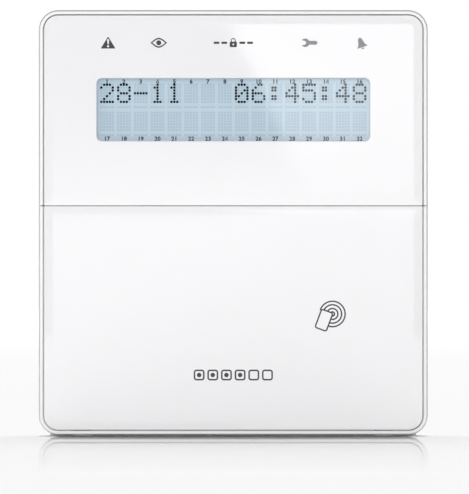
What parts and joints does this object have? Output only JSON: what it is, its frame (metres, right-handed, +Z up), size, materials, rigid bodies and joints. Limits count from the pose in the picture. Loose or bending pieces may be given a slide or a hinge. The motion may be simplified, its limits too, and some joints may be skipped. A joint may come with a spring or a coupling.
{
  "type": "alarm keypad panel",
  "caption": "Wall-mounted alarm keypad with a two-line display, status symbols, a card-reader mark and a fold-down flap over its keys.",
  "frame": {"origin": "centre of the back plate's wall face", "axes": "+Z up, +Y into the wall, the glossy front faces -Y, +X to the right seen from the front"},
  "size_m": [0.1254, 0.0238, 0.137],
  "materials": {
    "case_plastic": "white moulded ABS, semi-gloss",
    "gloss_sheet": "back-printed acrylic sheet, high gloss",
    "clear_window": "clear acrylic, polished",
    "light_guide": "milky light guide",
    "lcd_panel": "reflective display glass with a satin polariser",
    "bezel_metal": "blackened sheet steel",
    "circuit_board": "green solder mask",
    "black_plastic": "moulded black",
    "foam": "closed-cell foam",
    "led_white": "LED package",
    "copper_wire": "enamelled copper winding",
    "terminal_plastic": "green moulding",
    "zinc_steel": "zinc plated",
    "can_aluminium": "sleeved can",
    "silicone": "translucent grey silicone",
    "spring_steel": "bright steel",
    "key_plastic": "fine satin moulding"
  },
  "bodies": {
    "housing": {"back_plate": "case_plastic", "front_housing": "case_plastic", "upper_fascia": "gloss_sheet", "lcd_window": "clear_window", "light_guides": "light_guide", "lcd_glass": "lcd_panel", "lcd_bezel": "bezel_metal", "lcd_backlight": "light_guide", "lcd_board": "circuit_board", "lcd_header": "black_plastic", "lcd_gasket": "foam", "main_board": "circuit_board", "status_leds": "led_white", "key_leds": "led_white", "sounder": "black_plastic", "reader_coil": "copper_wire", "terminal_block": "terminal_plastic", "terminal_screws": "zinc_steel", "program_header": "black_plastic", "controller_chip": "black_plastic", "reader_chip": "black_plastic", "capacitors": "can_aluminium", "supply_inductor": "black_plastic", "keypad_mat": "silicone", "tamper_switch": "black_plastic", "tamper_spring": "spring_steel", "board_screws": "zinc_steel", "case_screw": "zinc_steel", "hinge_pins": "spring_steel"},
    "flap": {"flap_panel": "case_plastic", "flap_fascia": "gloss_sheet"},
    "key_1": {"key_1": "key_plastic"},
    "key_2": {"key_2": "key_plastic"},
    "key_3": {"key_3": "key_plastic"},
    "key_up": {"key_up": "key_plastic"},
    "key_4": {"key_4": "key_plastic"},
    "key_5": {"key_5": "key_plastic"},
    "key_6": {"key_6": "key_plastic"},
    "key_down": {"key_down": "key_plastic"},
    "key_7": {"key_7": "key_plastic"},
    "key_8": {"key_8": "key_plastic"},
    "key_9": {"key_9": "key_plastic"},
    "key_left": {"key_left": "key_plastic"},
    "key_star": {"key_star": "key_plastic"},
    "key_0": {"key_0": "key_plastic"},
    "key_hash": {"key_hash": "key_plastic"},
    "key_right": {"key_right": "key_plastic"},
    "plunger": {"tamper_plunger": "case_plastic"}
  },
  "joints": [
    {"name": "flap_hinge", "type": "hinge", "parent": "housing", "child": "flap", "pos_m": [0, -0.0192, -0.0657], "axis": [1, 0, 0], "range_deg": [0, 90]},
    {"name": "key_1_press", "type": "slide", "parent": "housing", "child": "key_1", "axis": [0, 1, 0], "range_m": [0, 0.001], "stiffness_N_per_m": 300, "springref_m": -0.001, "deforming": ["keypad_mat"]},
    {"name": "key_2_press", "type": "slide", "parent": "housing", "child": "key_2", "axis": [0, 1, 0], "range_m": [0, 0.001], "stiffness_N_per_m": 300, "springref_m": -0.001, "deforming": ["keypad_mat"]},
    {"name": "key_3_press", "type": "slide", "parent": "housing", "child": "key_3", "axis": [0, 1, 0], "range_m": [0, 0.001], "stiffness_N_per_m": 300, "springref_m": -0.001, "deforming": ["keypad_mat"]},
    {"name": "key_up_press", "type": "slide", "parent": "housing", "child": "key_up", "axis": [0, 1, 0], "range_m": [0, 0.001], "stiffness_N_per_m": 300, "springref_m": -0.001, "deforming": ["keypad_mat"]},
    {"name": "key_4_press", "type": "slide", "parent": "housing", "child": "key_4", "axis": [0, 1, 0], "range_m": [0, 0.001], "stiffness_N_per_m": 300, "springref_m": -0.001, "deforming": ["keypad_mat"]},
    {"name": "key_5_press", "type": "slide", "parent": "housing", "child": "key_5", "axis": [0, 1, 0], "range_m": [0, 0.001], "stiffness_N_per_m": 300, "springref_m": -0.001, "deforming": ["keypad_mat"]},
    {"name": "key_6_press", "type": "slide", "parent": "housing", "child": "key_6", "axis": [0, 1, 0], "range_m": [0, 0.001], "stiffness_N_per_m": 300, "springref_m": -0.001, "deforming": ["keypad_mat"]},
    {"name": "key_down_press", "type": "slide", "parent": "housing", "child": "key_down", "axis": [0, 1, 0], "range_m": [0, 0.001], "stiffness_N_per_m": 300, "springref_m": -0.001, "deforming": ["keypad_mat"]},
    {"name": "key_7_press", "type": "slide", "parent": "housing", "child": "key_7", "axis": [0, 1, 0], "range_m": [0, 0.001], "stiffness_N_per_m": 300, "springref_m": -0.001, "deforming": ["keypad_mat"]},
    {"name": "key_8_press", "type": "slide", "parent": "housing", "child": "key_8", "axis": [0, 1, 0], "range_m": [0, 0.001], "stiffness_N_per_m": 300, "springref_m": -0.001, "deforming": ["keypad_mat"]},
    {"name": "key_9_press", "type": "slide", "parent": "housing", "child": "key_9", "axis": [0, 1, 0], "range_m": [0, 0.001], "stiffness_N_per_m": 300, "springref_m": -0.001, "deforming": ["keypad_mat"]},
    {"name": "key_left_press", "type": "slide", "parent": "housing", "child": "key_left", "axis": [0, 1, 0], "range_m": [0, 0.001], "stiffness_N_per_m": 300, "springref_m": -0.001, "deforming": ["keypad_mat"]},
    {"name": "key_star_press", "type": "slide", "parent": "housing", "child": "key_star", "axis": [0, 1, 0], "range_m": [0, 0.001], "stiffness_N_per_m": 300, "springref_m": -0.001, "deforming": ["keypad_mat"]},
    {"name": "key_0_press", "type": "slide", "parent": "housing", "child": "key_0", "axis": [0, 1, 0], "range_m": [0, 0.001], "stiffness_N_per_m": 300, "springref_m": -0.001, "deforming": ["keypad_mat"]},
    {"name": "key_hash_press", "type": "slide", "parent": "housing", "child": "key_hash", "axis": [0, 1, 0], "range_m": [0, 0.001], "stiffness_N_per_m": 300, "springref_m": -0.001, "deforming": ["keypad_mat"]},
    {"name": "key_right_press", "type": "slide", "parent": "housing", "child": "key_right", "axis": [0, 1, 0], "range_m": [0, 0.001], "stiffness_N_per_m": 300, "springref_m": -0.001, "deforming": ["keypad_mat"]},
    {"name": "tamper_press", "type": "slide", "parent": "housing", "child": "plunger", "axis": [0, -1, 0], "range_m": [0, 0.0018], "stiffness_N_per_m": 60, "springref_m": -0.001, "deforming": ["tamper_spring"]}
  ]
}
